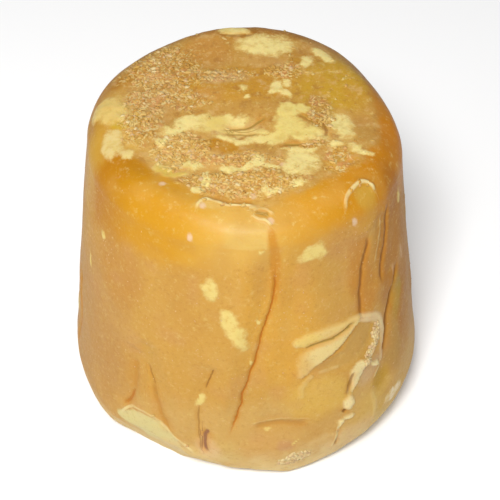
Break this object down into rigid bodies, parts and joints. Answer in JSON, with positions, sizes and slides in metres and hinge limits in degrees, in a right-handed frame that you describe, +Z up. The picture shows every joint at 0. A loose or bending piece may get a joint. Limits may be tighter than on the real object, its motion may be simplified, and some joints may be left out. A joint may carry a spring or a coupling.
{
  "type": "jaggery block",
  "caption": "Bucket-moulded block of golden jaggery with a tapered folded side and a pale, crumbly, crystalline top face.",
  "frame": {"origin": "on the resting plane, under the middle of the block's bounding box", "axes": "+Z up, from the wide foot to the narrower top face; -Y towards the front, which has the long thin crease and the pouch-like fold; +X to the right seen from the front"},
  "size_m": [0.1086, 0.1074, 0.103],
  "materials": {
    "jaggery": "hard set cane sugar: amber and slightly waxy where it set smooth, pale and crumbly where it crystallised"
  },
  "bodies": {
    "root": {"jaggery_block": "jaggery"}
  },
  "joints": []
}
